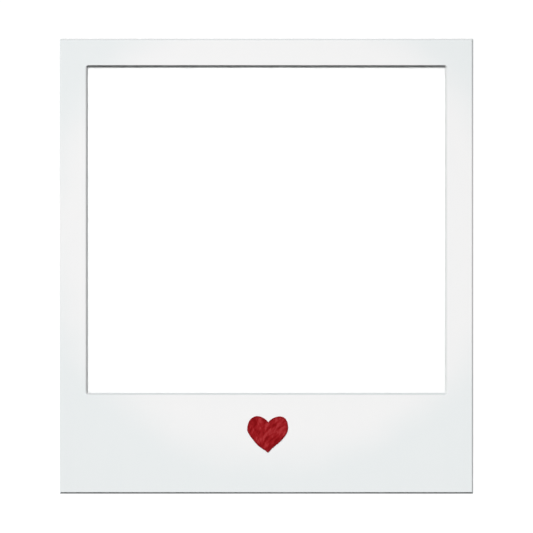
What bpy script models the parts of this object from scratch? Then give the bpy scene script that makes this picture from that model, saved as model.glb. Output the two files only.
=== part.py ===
"""Desk and wall picture frame in the shape of an instant print.

A moulded front with a square window holds a glazing sheet, a print, a filler card and a
hardboard back. Two turn buttons keep the back in, a hinged leg props the frame up, and a
D ring hangs it on a wall.

Metres, +Z up. The frame is drawn upright in its own axes, X to the right, Y from the front
face to the back and Z up the face, and a root empty leans it back. The origin is on the
table, in the middle of the footprint.
"""

import math

import bmesh
import bpy
from mathutils import Matrix, Vector

MM = 0.001
GAP = 0.3 * MM

# Overall size and attitude
WIDTH = 110.0 * MM
HEIGHT = 121.0 * MM
DEPTH = 14.0 * MM
LEAN = math.radians(14.0)
LEG_OPEN = math.radians(24.0)

# Front moulding
OUTER_RADIUS = 0.25 * MM
EDGE_CHAMFER = 0.45 * MM
LIP_THICKNESS = 1.6 * MM
WINDOW_HALF = 48.05 * MM
WINDOW_BOTTOM = 26.3 * MM
WINDOW_TOP = 113.92 * MM
WINDOW_RADIUS = 0.65 * MM
OPENING_RADIUS = 0.27 * MM
SHEET_POCKET_HALF = 51.3 * MM
SHEET_POCKET_BOTTOM = 15.2 * MM
SHEET_POCKET_TOP = 117.6 * MM
LEDGE_DEPTH = 5.9 * MM
PANEL_POCKET_HALF = 52.8 * MM
PANEL_POCKET_BOTTOM = 14.0 * MM
PANEL_POCKET_TOP = 118.9 * MM
LAND_DEPTH = 8.6 * MM
RIM_INSIDE_BOTTOM = 5.4 * MM
WEDGE_START = 0.35 * MM
LEG_NOTCH_HALF = 19.5 * MM
HOOK_X = 30.0 * MM
HOOK_WIDTH = 14.0 * MM
HOOK_REACH = 2.5 * MM
HOOK_THICKNESS = 1.5 * MM

# Sheets in the pocket, each from its front face back
PRINT_SIDE = 101.6 * MM
PRINT_BOTTOM = 15.6 * MM
GLAZING_FRONT, GLAZING_THICKNESS = 1.9 * MM, 1.0 * MM
PRINT_FRONT, PRINT_THICKNESS = 3.15 * MM, 0.28 * MM
CARD_FRONT, CARD_THICKNESS = 3.7 * MM, 2.1 * MM
PANEL_FRONT, PANEL_THICKNESS = 6.2 * MM, 2.4 * MM
PANEL_HALF = 52.5 * MM
PANEL_BOTTOM = 14.3 * MM
PANEL_TOP = 118.6 * MM

# Heart on the lower border
HEART_WIDTH = 10.9 * MM
HEART_HEIGHT = 9.72 * MM
HEART_X = 0.33 * MM
HEART_TIP = 10.93 * MM
HEART_THICKNESS = 0.25 * MM

# Turn buttons
BUTTON_X = 36.0 * MM
BUTTON_Z = 9.4 * MM
BUTTON_THICKNESS = 1.0 * MM
BUTTON_HUB_RADIUS = 3.4 * MM
BUTTON_TIP_RADIUS = 2.5 * MM
BUTTON_REACH = 9.0 * MM
SCREW_RADIUS = 1.2 * MM
SCREW_HEAD_RADIUS = 2.5 * MM
SCREW_HEAD_HEIGHT = 1.6 * MM
SCREW_LENGTH = 6.6 * MM

# Leg hinge
SHEET_STEEL = 0.6 * MM
KNUCKLE_INNER = 1.05 * MM
KNUCKLE_OUTER = KNUCKLE_INNER + SHEET_STEEL
PIN_RADIUS = 0.75 * MM
HINGE_Z = 78.0 * MM
HINGE_Y = PANEL_FRONT + PANEL_THICKNESS + GAP + KNUCKLE_OUTER
HINGE_HALF = 11.0 * MM
PLATE_LENGTH = 13.0 * MM
LEAF_LENGTH = 15.0 * MM
HINGE_CORNER = 1.8 * MM
TONGUE_LENGTH = 4.2 * MM
RIVET_RADIUS = 1.0 * MM
RIVET_HOLE = RIVET_RADIUS + GAP
PLATE_RIVET_X, PLATE_RIVET_Z = 7.5 * MM, 8.6 * MM
LEG_RIVET_X, LEG_RIVET_Z = 7.0 * MM, -9.6 * MM

# Leg
LEG_THICKNESS = 2.4 * MM
LEG_TOP_HALF = 12.0 * MM
LEG_FOOT_HALF = 17.0 * MM
LEG_FACE = KNUCKLE_INNER - GAP

# Hanger
RING_Z = 106.0 * MM
RING_WIRE = 0.7 * MM
RING_HALF = 6.0 * MM
RING_STRAIGHT = 5.5 * MM
STRAP_INNER = RING_WIRE + GAP
STRAP_OUTER = STRAP_INNER + 0.5 * MM
STRAP_HALF = 3.5 * MM
STRAP_LENGTH = 8.5 * MM
STRAP_CORNER = 1.3 * MM
STRAP_RIVET_Z = -6.2 * MM
RING_Y = PANEL_FRONT + PANEL_THICKNESS + GAP + STRAP_OUTER

# Foot pads
PAD_X = 40.0 * MM
PAD_SIZE = (16.0 * MM, 9.0 * MM, 0.7 * MM)

# Where the leaned frame stands
BASE_CLEARANCE = PAD_SIZE[2] + GAP
ROOT_Z = BASE_CLEARANCE + WEDGE_START * math.sin(LEAN)
AXIS_Z = HINGE_Z * math.cos(LEAN) - HINGE_Y * math.sin(LEAN) + ROOT_Z
AXIS_Y = HINGE_Y * math.cos(LEAN) + HINGE_Z * math.sin(LEAN)
LEG_TILT = LEG_OPEN - LEAN
LEG_LENGTH = AXIS_Z / math.cos(LEG_TILT)
FRONT_Y = EDGE_CHAMFER * math.sin(LEAN)
BACK_Y = max(
    DEPTH * math.cos(LEAN) + HEIGHT * math.sin(LEAN),
    AXIS_Y + AXIS_Z * math.tan(LEG_TILT) + LEG_FACE / math.cos(LEG_TILT),
)
ROOT_Y = -(FRONT_Y + BACK_Y) / 2


for old in list(bpy.data.objects):
    bpy.data.objects.remove(old, do_unlink=True)

parts = bpy.data.collections.new("instant_photo_frame")
cutters = bpy.data.collections.new("cutters")
for collection in (parts, cutters):
    bpy.context.scene.collection.children.link(collection)
cutters.hide_render = True


# ---------------------------------------------------------------- helpers


def material(name, colour, roughness, metallic=0.0, transmission=0.0):
    made = bpy.data.materials.new(name)
    made.use_nodes = True
    shader = made.node_tree.nodes["Principled BSDF"]
    shader.inputs["Base Color"].default_value = (*colour, 1.0)
    shader.inputs["Roughness"].default_value = roughness
    shader.inputs["Metallic"].default_value = metallic
    shader.inputs["Transmission Weight"].default_value = transmission
    return made


def empty(name, location, tilt=0.0, parent=None):
    made = bpy.data.objects.new(name, None)
    made.empty_display_size = 0.01
    made.location = location
    made.rotation_euler = (tilt, 0.0, 0.0)
    made.parent = parent
    parts.objects.link(made)
    return made


def place(name, mesh, finish=None, parent=None, location=(0, 0, 0), cutter=False):
    """A mesh as a named part, or as a hidden cutter."""
    made = bpy.data.objects.new(name, mesh)
    made.location = location
    made.parent = parent
    if cutter:
        cutters.objects.link(made)
        made.hide_render = True
        made.display_type = "WIRE"
    else:
        parts.objects.link(made)
        mesh.materials.clear()
        mesh.materials.append(finish)
    return made


def to_mesh(bm, name):
    bmesh.ops.recalc_face_normals(bm, faces=bm.faces)
    mesh = bpy.data.meshes.new(name)
    bm.to_mesh(mesh)
    bm.free()
    return mesh


def block(name, low, high, axis=None, radius=0.0, segments=4):
    """A box between two corners, with the edges along one axis rounded."""
    low, high = Vector(low), Vector(high)
    bm = bmesh.new()
    bmesh.ops.create_cube(bm, size=1.0)
    bmesh.ops.scale(bm, vec=high - low, verts=bm.verts)
    bmesh.ops.translate(bm, vec=(low + high) / 2, verts=bm.verts)
    if radius:
        across = [i for i in range(3) if i != "XYZ".index(axis)]
        edges = [
            e
            for e in bm.edges
            if all(abs(e.verts[0].co[i] - e.verts[1].co[i]) < 1e-7 for i in across)
        ]
        bmesh.ops.bevel(
            bm,
            geom=edges,
            offset=radius,
            offset_type="OFFSET",
            segments=segments,
            profile=0.5,
            affect="EDGES",
        )
    return to_mesh(bm, name)


def chamfer_edges(mesh, size, chosen):
    """Cuts a flat chamfer on the edges that the test picks."""
    bm = bmesh.new()
    bm.from_mesh(mesh)
    edges = [e for e in bm.edges if chosen(e.verts[0].co) and chosen(e.verts[1].co)]
    bmesh.ops.bevel(
        bm,
        geom=edges,
        offset=size,
        offset_type="OFFSET",
        segments=1,
        profile=0.5,
        affect="EDGES",
    )
    bm.to_mesh(mesh)
    bm.free()
    return mesh


def round_end(mesh, half, end, radius):
    """Rounds the two corners of a strip's free end, half its width to each side."""
    bm = bmesh.new()
    bm.from_mesh(mesh)
    bmesh.ops.dissolve_limit(
        bm, angle_limit=math.radians(1.0), verts=bm.verts, edges=bm.edges
    )
    edges = [
        e
        for e in bm.edges
        if all(abs(abs(v.co.x) - half) < 1e-6 and abs(v.co.z - end) < 1e-6 for v in e.verts)
        and abs(e.verts[0].co.x - e.verts[1].co.x) < 1e-6
    ]
    bmesh.ops.bevel(
        bm,
        geom=edges,
        offset=radius,
        offset_type="OFFSET",
        segments=5,
        profile=0.5,
        affect="EDGES",
    )
    bm.to_mesh(mesh)
    bm.free()
    return mesh


TURN_TO = {
    "X": Matrix.Rotation(math.pi / 2, 4, "Y"),
    "Y": Matrix.Rotation(-math.pi / 2, 4, "X"),
    "Z": Matrix.Identity(4),
}


def rod(name, centre, axis, radius, length, segments=32):
    """A cylinder about a point, along X, Y or Z."""
    bm = bmesh.new()
    bmesh.ops.create_cone(
        bm,
        cap_ends=True,
        segments=segments,
        radius1=radius,
        radius2=radius,
        depth=length,
    )
    bmesh.ops.transform(bm, matrix=TURN_TO[axis], verts=bm.verts)
    bmesh.ops.translate(bm, vec=centre, verts=bm.verts)
    return to_mesh(bm, name)


def arc(centre, radius, start, end, steps):
    """Points of an arc, in degrees, both ends included."""
    return [
        (
            centre[0] + radius * math.cos(math.radians(start + (end - start) * i / steps)),
            centre[1] + radius * math.sin(math.radians(start + (end - start) * i / steps)),
        )
        for i in range(steps + 1)
    ]


def filleted(corners, radii, steps=6):
    """A closed outline through convex corners, each rounded by its own radius."""
    outline = []
    for i, here in enumerate(corners):
        here = Vector(here)
        before = (Vector(corners[i - 1]) - here).normalized()
        after = (Vector(corners[(i + 1) % len(corners)]) - here).normalized()
        half = before.angle(after) / 2
        centre = here + (before + after).normalized() * radii[i] / math.sin(half)
        first = here + before * radii[i] / math.tan(half) - centre
        turn = first.angle_signed(here + after * radii[i] / math.tan(half) - centre)
        for k in range(steps + 1):
            spoke = first.copy()
            spoke.rotate(Matrix.Rotation(-turn * k / steps, 2))
            outline.append(tuple(centre + spoke))
    return outline


def plate(name, loops, thickness, plane="XZ", offset=0.0):
    """A flat sheet from closed outlines: the first is its edge, the others are holes.

    In plane XZ the sheet's thickness lies along Y, from offset back. In plane YZ it lies
    along X, centred.
    """
    drawing = bpy.data.curves.new(name + "_outline", "CURVE")
    drawing.dimensions = "2D"
    drawing.fill_mode = "BOTH"
    drawing.extrude = thickness / 2
    for loop in loops:
        spline = drawing.splines.new("POLY")
        spline.points.add(len(loop) - 1)
        for point, (a, b) in zip(spline.points, loop):
            point.co = (a, b, 0.0, 1.0)
        spline.use_cyclic_u = True
    return curve_to_mesh(name, drawing, thickness, plane, offset)


def curve_to_mesh(name, drawing, thickness, plane, offset):
    """The solid of a flat outline, turned into its plane."""
    sketch = bpy.data.objects.new(name + "_sketch", drawing)
    cutters.objects.link(sketch)
    if plane == "XZ":
        turn = Matrix.Translation((0, offset + thickness / 2, 0)) @ Matrix.Rotation(
            math.pi / 2, 4, "X"
        )
    else:
        turn = Matrix(((0, 0, 1, 0), (1, 0, 0, 0), (0, 1, 0, 0), (0, 0, 0, 1)))
    return solid_of_curve(name, sketch, turn)


def solid_of_curve(name, sketch, turn):
    bpy.context.view_layer.update()
    graph = bpy.context.evaluated_depsgraph_get()
    mesh = bpy.data.meshes.new_from_object(sketch.evaluated_get(graph))
    drawing = sketch.data
    bpy.data.objects.remove(sketch, do_unlink=True)
    bpy.data.curves.remove(drawing)
    mesh.name = name
    bm = bmesh.new()
    bm.from_mesh(mesh)
    bmesh.ops.remove_doubles(bm, verts=bm.verts, dist=1e-6)
    bmesh.ops.transform(bm, matrix=turn, verts=bm.verts)
    bmesh.ops.recalc_face_normals(bm, faces=bm.faces)
    bm.to_mesh(mesh)
    bm.free()
    return mesh


def circle(centre, radius, steps=24):
    return arc(centre, radius, 0, 360 * (steps - 1) / steps, steps - 1)


def boolean(obj, tool, operation="DIFFERENCE"):
    cut = obj.modifiers.new(tool.name, "BOOLEAN")
    cut.operation = operation
    cut.solver = "EXACT"
    cut.object = tool
    return cut


def cut_block(obj, name, low, high, axis=None, radius=0.0):
    tool = place(name, block(name, low, high, axis, radius), parent=obj.parent, cutter=True)
    tool.location = obj.location
    return boolean(obj, tool)


def cut_rod(obj, name, centre, axis, radius, length, segments=24):
    tool = place(
        name, rod(name, centre, axis, radius, length, segments), parent=obj.parent, cutter=True
    )
    tool.location = obj.location
    return boolean(obj, tool)


def turned(name, profile, axis, finish, parent, location, steps=24):
    """A turned piece: (radius, height) pairs from its top down, spun about an axis."""
    bm = bmesh.new()
    points = [bm.verts.new((r, 0.0, h)) for r, h in profile]
    for a, b in zip(points, points[1:]):
        bm.edges.new((a, b))
    mesh = bpy.data.meshes.new(name)
    bm.to_mesh(mesh)
    bm.free()
    made = place(name, mesh, finish, parent, location)
    made.rotation_euler = TURN_TO[axis].to_euler()
    spin = made.modifiers.new("spin", "SCREW")
    spin.axis = "Z"
    spin.steps = spin.render_steps = steps
    spin.use_merge_vertices = True
    spin.merge_threshold = 0.00001
    spin.use_smooth_shade = True
    return made


def smooth(obj, degrees=35):
    obj.data.shade_smooth()
    obj.data.set_sharp_from_angle(angle=math.radians(degrees))


# ---------------------------------------------------------------- finishes

white_abs = material("white_moulding", (0.83, 0.86, 0.865), 0.42)
heart_red = material("heart_red", (0.36, 0.015, 0.02), 0.6)
clear_sheet = material("clear_acrylic", (0.97, 0.98, 0.98), 0.03, transmission=1.0)
print_white = material("print_paper", (0.94, 0.94, 0.94), 0.35)
card_brown = material("corrugated_card", (0.42, 0.29, 0.17), 0.9)
hardboard = material("hardboard", (0.17, 0.085, 0.045), 0.75)
zinc = material("zinc_steel", (0.62, 0.63, 0.64), 0.32, metallic=1.0)
brass = material("brass_plate", (0.72, 0.52, 0.24), 0.28, metallic=1.0)
rubber = material("pad_rubber", (0.03, 0.03, 0.032), 0.8)

root = empty("frame_root", (0.0, ROOT_Y, ROOT_Z), -LEAN)
leg_axis = empty("leg_axis", (0.0, HINGE_Y, HINGE_Z), LEG_OPEN, root)
ring_axis = empty("ring_axis", (0.0, RING_Y, RING_Z), LEAN, root)

# ---------------------------------------------------------------- front moulding

bezel_mesh = block(
    "front_bezel",
    (-WIDTH / 2, 0.0, 0.0),
    (WIDTH / 2, DEPTH, HEIGHT),
    "Y",
    OUTER_RADIUS,
    3,
)
bezel = place("front_bezel", bezel_mesh, white_abs, root)

# A 45 degree chamfer along each front edge. They meet in mitres.
ALONG_X = (-0.09, -0.02, 0.0), (0.09, 0.02, 0.02)
ALONG_Z = (0.0, -0.02, -0.09), (0.02, 0.02, 0.09)
for word, (low, high), spot, turn in (
    ("top", ALONG_X, (0.0, 0.0, HEIGHT - EDGE_CHAMFER), (45, 0, 0)),
    ("bottom", ALONG_X, (0.0, 0.0, EDGE_CHAMFER), (135, 0, 0)),
    ("left", ALONG_Z, (EDGE_CHAMFER - WIDTH / 2, 0.0, HEIGHT / 2), (0, 0, -135)),
    ("right", ALONG_Z, (WIDTH / 2 - EDGE_CHAMFER, 0.0, HEIGHT / 2), (0, 0, -45)),
):
    edge_cut = place(
        "front_chamfer_" + word,
        block("front_chamfer_" + word, low, high),
        parent=root,
        location=spot,
        cutter=True,
    )
    edge_cut.rotation_euler = [math.radians(angle) for angle in turn]
    boolean(bezel, edge_cut)

# The window's chamfer, cut past both of its edges, then the opening itself.
PAST = 1.0 * MM
FLARE_DEPTH = EDGE_CHAMFER + 0.15 * MM
flare_mesh = block(
    "window_chamfer",
    (-WINDOW_HALF - PAST, -2.0 * MM, WINDOW_BOTTOM - PAST),
    (WINDOW_HALF + PAST, FLARE_DEPTH, WINDOW_TOP + PAST),
    "Y",
    WINDOW_RADIUS + PAST,
)
chamfer_edges(flare_mesh, FLARE_DEPTH + PAST, lambda co: abs(co.y - FLARE_DEPTH) < 1e-7)
boolean(bezel, place("window_chamfer", flare_mesh, parent=root, cutter=True))
cut_block(
    bezel,
    "window_opening",
    (-WINDOW_HALF + EDGE_CHAMFER, -2.0 * MM, WINDOW_BOTTOM + EDGE_CHAMFER),
    (WINDOW_HALF - EDGE_CHAMFER, LIP_THICKNESS + 1.0 * MM, WINDOW_TOP - EDGE_CHAMFER),
    "Y",
    OPENING_RADIUS,
)

# Pocket for the sheets, wider pocket for the panel, and the sunk land below it.
cut_block(
    bezel,
    "sheet_pocket",
    (-SHEET_POCKET_HALF, LIP_THICKNESS, SHEET_POCKET_BOTTOM),
    (SHEET_POCKET_HALF, LEDGE_DEPTH + 1 * MM, SHEET_POCKET_TOP),
    "Y",
    0.6 * MM,
)
cut_block(
    bezel,
    "panel_pocket",
    (-PANEL_POCKET_HALF, LEDGE_DEPTH, PANEL_POCKET_BOTTOM),
    (PANEL_POCKET_HALF, DEPTH + 1 * MM, PANEL_POCKET_TOP),
    "Y",
    1.2 * MM,
)
cut_block(
    bezel,
    "land_recess",
    (-PANEL_POCKET_HALF, LAND_DEPTH, RIM_INSIDE_BOTTOM),
    (PANEL_POCKET_HALF, DEPTH + 2 * MM, PANEL_POCKET_BOTTOM + 6 * MM),
    "Y",
    1.2 * MM,
)
cut_block(
    bezel,
    "leg_notch",
    (-LEG_NOTCH_HALF, LAND_DEPTH, -4 * MM),
    (LEG_NOTCH_HALF, DEPTH + 3 * MM, RIM_INSIDE_BOTTOM + 3 * MM),
)

# Core pockets keep the walls of the deep lower border even, with ribs between them.
CORE_FRONT = 1.9 * MM
CORE_LOW, CORE_HIGH = 4.6 * MM, 12.4 * MM
CORE_SPANS = ((-51.2, -41.2), (-30.8, -16.4), (-14.8, -0.8), (0.8, 14.8), (16.4, 30.8), (41.2, 51.2))
for index, (left, right) in enumerate(CORE_SPANS):
    cut_block(
        bezel,
        f"core_pocket_{index + 1}",
        (left * MM, CORE_FRONT, CORE_LOW),
        (right * MM, LAND_DEPTH + 1 * MM, CORE_HIGH),
        "Y",
        0.8 * MM,
    )

for side in (-1, 1):
    cut_rod(
        bezel,
        "boss_hole_left" if side < 0 else "boss_hole_right",
        (side * BUTTON_X, (2.6 * MM + LAND_DEPTH + 1 * MM) / 2, BUTTON_Z),
        "Y",
        SCREW_RADIUS + GAP,
        LAND_DEPTH + 1 * MM - 2.6 * MM,
    )

# Two hooks under the top rim take the panel's upper edge.
for side in (-1, 1):
    name = "top_hook_left" if side < 0 else "top_hook_right"
    front = PANEL_FRONT + PANEL_THICKNESS + GAP
    hook = block(
        name,
        (side * HOOK_X - HOOK_WIDTH / 2, front, PANEL_POCKET_TOP - HOOK_REACH),
        (side * HOOK_X + HOOK_WIDTH / 2, front + HOOK_THICKNESS, PANEL_POCKET_TOP + 0.8 * MM),
    )
    boolean(bezel, place(name, hook, parent=root, cutter=True), "UNION")

# The lower face is cut to the lean, so that it lies level over the table.
wedge = place(
    "base_wedge",
    block("base_wedge", (-0.08, -0.02, -0.03), (0.08, 0.05, 0.0)),
    parent=root,
    location=(0.0, WEDGE_START, 0.0),
    cutter=True,
)
wedge.rotation_euler = (LEAN, 0.0, 0.0)
boolean(bezel, wedge)

# ---------------------------------------------------------------- heart


def heart_mesh(name):
    """A hand-drawn heart: Bezier knots at the notch, lobes, flanks and tip."""
    half, tall = HEART_WIDTH / 2, HEART_HEIGHT
    knots = (
        # place, incoming handle, outgoing handle: across in half widths, up in heights
        ((0.032, 0.838), (0.11, 0.908), (-0.085, 0.915)),
        ((-0.54, 1.002), (-0.29, 1.012), (-0.80, 0.988)),
        ((-1.003, 0.655), (-0.99, 0.86), (-1.02, 0.575)),
        ((-0.695, 0.335), (-0.88, 0.471), (-0.60, 0.263)),
        ((-0.35, 0.143), (-0.465, 0.188), (-0.24, 0.103)),
        ((0.008, 0.0), (-0.095, 0.056), (0.10, 0.06)),
        ((0.437, 0.226), (0.30, 0.17), (0.512, 0.257)),
        ((0.66, 0.335), (0.59, 0.293), (0.83, 0.44)),
        ((0.994, 0.69), (1.01, 0.565), (0.99, 0.865)),
        ((0.60, 0.995), (0.875, 0.988), (0.36, 1.0)),
    )
    drawing = bpy.data.curves.new(name + "_outline", "CURVE")
    drawing.dimensions = "2D"
    drawing.fill_mode = "BOTH"
    drawing.extrude = HEART_THICKNESS / 2
    drawing.resolution_u = 6
    spline = drawing.splines.new("BEZIER")
    spline.bezier_points.add(len(knots) - 1)
    for point, (at, before, after) in zip(spline.bezier_points, knots):
        point.handle_left_type = point.handle_right_type = "FREE"
        point.co = (at[0] * half, at[1] * tall, 0.0)
        point.handle_left = (before[0] * half, before[1] * tall, 0.0)
        point.handle_right = (after[0] * half, after[1] * tall, 0.0)
    spline.use_cyclic_u = True
    return curve_to_mesh(name, drawing, HEART_THICKNESS, "XZ", -GAP - HEART_THICKNESS)


place(
    "heart_sticker",
    heart_mesh("heart_sticker"),
    heart_red,
    root,
    (HEART_X, 0.0, HEART_TIP),
)

# ---------------------------------------------------------------- sheets


def rectangle(half, low, high, radius, steps=4):
    return filleted(
        [(-half, low), (half, low), (half, high), (-half, high)], [radius] * 4, steps
    )


RIVET_PLACES = (
    (-PLATE_RIVET_X, HINGE_Z + PLATE_RIVET_Z),
    (PLATE_RIVET_X, HINGE_Z + PLATE_RIVET_Z),
    (0.0, RING_Z + STRAP_RIVET_Z),
)

place(
    "glazing",
    plate(
        "glazing",
        [rectangle(51.0 * MM, PRINT_BOTTOM - 0.1 * MM, PRINT_BOTTOM + 101.9 * MM, 0.5 * MM)],
        GLAZING_THICKNESS,
        offset=GLAZING_FRONT,
    ),
    clear_sheet,
    root,
)
place(
    "photo_print",
    plate(
        "photo_print",
        [rectangle(PRINT_SIDE / 2, PRINT_BOTTOM, PRINT_BOTTOM + PRINT_SIDE, 0.3 * MM, 2)],
        PRINT_THICKNESS,
        offset=PRINT_FRONT,
    ),
    print_white,
    root,
)
place(
    "filler_card",
    plate(
        "filler_card",
        [rectangle(50.6 * MM, PRINT_BOTTOM + 0.2 * MM, PRINT_BOTTOM + 101.4 * MM, 0.4 * MM, 2)]
        + [circle(spot, 2.6 * MM) for spot in RIVET_PLACES],
        CARD_THICKNESS,
        offset=CARD_FRONT,
    ),
    card_brown,
    root,
)
place(
    "back_panel",
    plate(
        "back_panel",
        [rectangle(PANEL_HALF, PANEL_BOTTOM, PANEL_TOP, 1.6 * MM, 5)]
        + [circle(spot, RIVET_HOLE) for spot in RIVET_PLACES],
        PANEL_THICKNESS,
        offset=PANEL_FRONT,
    ),
    hardboard,
    root,
)

# ---------------------------------------------------------------- turn buttons


def tapered_slot(hub, tip, reach, steps=10):
    """The outline around a hub circle and a smaller tip circle above it."""
    lift = math.degrees(math.asin((hub - tip) / reach))
    return arc((0, 0), hub, 180 - lift, 360 + lift, 2 * steps) + arc(
        (0, reach), tip, lift, 180 - lift, steps
    )


for side, word in ((-1, "left"), (1, "right")):
    front = LAND_DEPTH + GAP
    button = place(
        "turn_button_" + word,
        plate(
            "turn_button_" + word,
            [
                tapered_slot(BUTTON_HUB_RADIUS, BUTTON_TIP_RADIUS, BUTTON_REACH),
                circle((0, 0), SCREW_RADIUS + GAP),
            ],
            BUTTON_THICKNESS,
        ),
        zinc,
        root,
        (side * BUTTON_X, front, BUTTON_Z),
    )
    under_head = front + BUTTON_THICKNESS + GAP
    screw = turned(
        "turn_screw_" + word,
        [(0.0, SCREW_HEAD_HEIGHT)]
        + [
            (
                SCREW_HEAD_RADIUS * math.sin(math.radians(15 * i)),
                SCREW_HEAD_HEIGHT * (0.45 + 0.55 * math.cos(math.radians(15 * i))),
            )
            for i in range(1, 7)
        ]
        + [
            (SCREW_HEAD_RADIUS, 0.0),
            (SCREW_RADIUS, 0.0),
            (SCREW_RADIUS, -SCREW_LENGTH + 1.2 * MM),
            (0.0, -SCREW_LENGTH),
        ],
        "Y",
        zinc,
        root,
        (side * BUTTON_X, under_head, BUTTON_Z),
    )
    for turn in (45, 135):
        tool = place(
            f"cross_recess_{word}_{turn}",
            block(
                f"cross_recess_{word}_{turn}",
                (-1.45 * MM, 0.55 * MM, -0.28 * MM),
                (1.45 * MM, 3.0 * MM, 0.28 * MM),
            ),
            parent=root,
            location=screw.location,
            cutter=True,
        )
        tool.rotation_euler = (0.0, math.radians(turn), 0.0)
        boolean(screw, tool)

# ---------------------------------------------------------------- leg hinge


def rolled_leaf(name, length, sign):
    """Sheet steel that runs from a knuckle rolled about the axis. The fixed half (sign 1)
    lies in front of the axis and runs up, the moving half (sign -1) behind it and down."""
    end = 112
    outline = (
        [(-KNUCKLE_OUTER, length)]
        + arc((0, 0), KNUCKLE_OUTER, 180, 360 + end, 24)
        + arc((0, 0), KNUCKLE_INNER, 360 + end, 180, 24)
        + [(-KNUCKLE_INNER, length)]
    )
    mesh = plate(name, [[(sign * y, sign * z) for y, z in outline]], 2 * HINGE_HALF, "YZ")
    return round_end(mesh, HINGE_HALF, sign * length, HINGE_CORNER)


FIXED_FROM = 6.6 * MM
MOVING_FROM, MOVING_TO = 2.9 * MM, 6.3 * MM
TONGUE_HALF = 2.6 * MM
CLEAR = 2.2 * MM

hinge_plate = place(
    "hinge_plate",
    rolled_leaf("hinge_plate", PLATE_LENGTH, 1),
    zinc,
    root,
    (0.0, HINGE_Y, HINGE_Z),
)
cut_block(
    hinge_plate,
    "plate_gap",
    (-FIXED_FROM, -3 * MM, -3 * MM),
    (FIXED_FROM, 3 * MM, CLEAR),
)
for side, word in ((-1, "left"), (1, "right")):
    cut_rod(
        hinge_plate,
        "plate_hole_" + word,
        (side * PLATE_RIVET_X, -KNUCKLE_INNER, PLATE_RIVET_Z),
        "Y",
        RIVET_HOLE,
        4 * MM,
    )

hinge_leaf = place(
    "hinge_leaf", rolled_leaf("hinge_leaf", LEAF_LENGTH, -1), zinc, leg_axis
)
for side, word in ((-1, "left"), (1, "right")):
    near, far = sorted((side * MOVING_TO, side * 20 * MM))
    cut_block(hinge_leaf, "leaf_gap_" + word, (near, -3 * MM, -CLEAR), (far, 3 * MM, 3 * MM))
    cut_rod(
        hinge_leaf,
        "leaf_hole_" + word,
        (side * LEG_RIVET_X, KNUCKLE_INNER, LEG_RIVET_Z),
        "Y",
        RIVET_HOLE,
        4 * MM,
    )
cut_block(
    hinge_leaf, "leaf_slot", (-MOVING_FROM, -3 * MM, -CLEAR), (MOVING_FROM, 3 * MM, 3 * MM)
)
# A straight tongue runs past the pin and meets the plate when the leg is open.
tongue = block(
    "stop_tongue",
    (-TONGUE_HALF, KNUCKLE_INNER + 0.03 * MM, -CLEAR - 1.2 * MM),
    (TONGUE_HALF, KNUCKLE_OUTER - 0.03 * MM, TONGUE_LENGTH),
)
boolean(hinge_leaf, place("stop_tongue", tongue, parent=leg_axis, cutter=True), "UNION")

PIN_HEAD = 1.3 * MM
pin_half = HINGE_HALF + GAP
turned(
    "hinge_pin",
    [
        (0.0, pin_half + 0.7 * MM),
        (0.7 * PIN_HEAD, pin_half + 0.6 * MM),
        (PIN_HEAD, pin_half + 0.3 * MM),
        (PIN_HEAD, pin_half),
        (PIN_RADIUS, pin_half),
        (PIN_RADIUS, -pin_half),
        (PIN_HEAD, -pin_half),
        (PIN_HEAD, -pin_half - 0.3 * MM),
        (0.7 * PIN_HEAD, -pin_half - 0.6 * MM),
        (0.0, -pin_half - 0.7 * MM),
    ],
    "X",
    zinc,
    root,
    (0.0, HINGE_Y, HINGE_Z),
    20,
)


def rivet(name, location, grip, head_radius, head_height, flare_radius, flare, parent):
    """A tubular rivet: a low dome behind, a shank of the given grip, a clinched front."""
    return turned(
        name,
        [
            (0.0, head_height),
            (0.45 * head_radius, 0.92 * head_height),
            (0.82 * head_radius, 0.62 * head_height),
            (head_radius, 0.22 * head_height),
            (head_radius, 0.0),
            (RIVET_RADIUS, 0.0),
            (RIVET_RADIUS, -grip),
            (flare_radius, -grip),
            (flare_radius, -grip - 0.6 * flare),
            (0.72 * flare_radius, -grip - flare),
            (0.0, -grip - flare),
        ],
        "Y",
        zinc,
        parent,
        location,
        20,
    )


PANEL_BACK = PANEL_FRONT + PANEL_THICKNESS
for side, word in ((-1, "left"), (1, "right")):
    under = HINGE_Y - KNUCKLE_INNER + GAP
    rivet(
        "plate_rivet_" + word,
        (side * PLATE_RIVET_X, under, HINGE_Z + PLATE_RIVET_Z),
        under - PANEL_FRONT + GAP,
        2.0 * MM,
        0.7 * MM,
        1.8 * MM,
        0.5 * MM,
        root,
    )
    under = KNUCKLE_OUTER + GAP
    rivet(
        "leg_rivet_" + word,
        (side * LEG_RIVET_X, under, LEG_RIVET_Z),
        under - LEG_FACE + LEG_THICKNESS - 0.9 * MM + GAP,
        2.0 * MM,
        0.7 * MM,
        1.8 * MM,
        0.45 * MM,
        leg_axis,
    )

# ---------------------------------------------------------------- leg

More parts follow.
